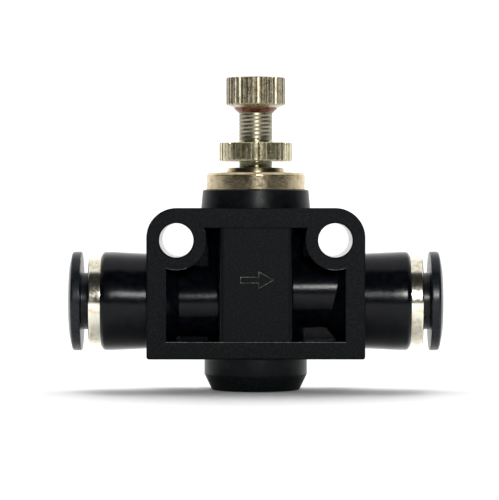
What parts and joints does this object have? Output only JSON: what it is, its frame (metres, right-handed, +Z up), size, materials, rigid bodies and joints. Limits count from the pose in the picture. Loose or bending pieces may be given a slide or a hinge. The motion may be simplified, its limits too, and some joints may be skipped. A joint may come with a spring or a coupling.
{
  "type": "flow control valve",
  "caption": "In-line needle flow control valve with two push-in tube ports, a mounting frame with through holes, a knurled adjusting knob and a lock nut.",
  "frame": {"origin": "centre of the round base's resting face", "axes": "+X along the metered flow to the right port, +Z up the needle to the knob, +Y to the back of the mounting frame"},
  "size_m": [0.0484, 0.0144, 0.0408],
  "materials": {
    "black_body": "moulded black, frame finely textured, barrels glossy",
    "plated_brass": "bright nickel-plated brass",
    "needle_brass": "turned and plated thread",
    "plain_brass": "turned brass",
    "knob_brass": "straight-knurled, plated",
    "nut_brass": "straight-knurled, plated",
    "guide_ring_brass": "bright nickel-plated brass",
    "sleeve_plastic": "satin black",
    "nbr_rubber": "matt",
    "stainless": "stamped spring steel",
    "white_acetal": "natural moulded"
  },
  "bodies": {
    "housing": {"valve_body": "black_body", "bonnet": "plated_brass", "needle_bush": "plated_brass", "bonnet_oring": "nbr_rubber", "seat_ring": "plain_brass", "check_seal": "nbr_rubber", "guide_ring_left": "guide_ring_brass", "grab_ring_left": "stainless", "backup_ring_left": "white_acetal", "tube_seal_left": "nbr_rubber", "guide_ring_right": "guide_ring_brass", "grab_ring_right": "stainless", "backup_ring_right": "white_acetal", "tube_seal_right": "nbr_rubber"},
    "needle_seal": {"needle_oring": "nbr_rubber"},
    "needle": {"needle": "needle_brass", "adjusting_knob": "knob_brass"},
    "lock_nut": {"lock_nut": "nut_brass"},
    "sleeve_left": {"release_sleeve_left": "sleeve_plastic"},
    "sleeve_right": {"release_sleeve_right": "sleeve_plastic"}
  },
  "joints": [
    {"name": "needle_lift", "type": "slide", "parent": "housing", "child": "needle_seal", "axis": [0, 0, 1], "range_m": [-0.003, 0.0015]},
    {"name": "needle_turn", "type": "hinge", "parent": "needle_seal", "child": "needle", "pos_m": [0, 0, 0.03], "axis": [0, 0, 1], "range_deg": [-2160, 1080]},
    {"name": "lock_nut_travel", "type": "slide", "parent": "housing", "child": "lock_nut", "axis": [0, 0, 1], "range_m": [-0.0008, 0.0005]},
    {"name": "release_left", "type": "slide", "parent": "housing", "child": "sleeve_left", "axis": [1, 0, 0], "range_m": [0, 0.0009], "stiffness_N_per_m": 1500, "deforming": ["grab_ring_left"]},
    {"name": "release_right", "type": "slide", "parent": "housing", "child": "sleeve_right", "axis": [-1, 0, 0], "range_m": [0, 0.0009], "stiffness_N_per_m": 1500, "deforming": ["grab_ring_right"]}
  ],
  "couplings": [
    {"joint": "needle_turn", "follows": "needle_lift", "rad_per_m": 12566}
  ]
}
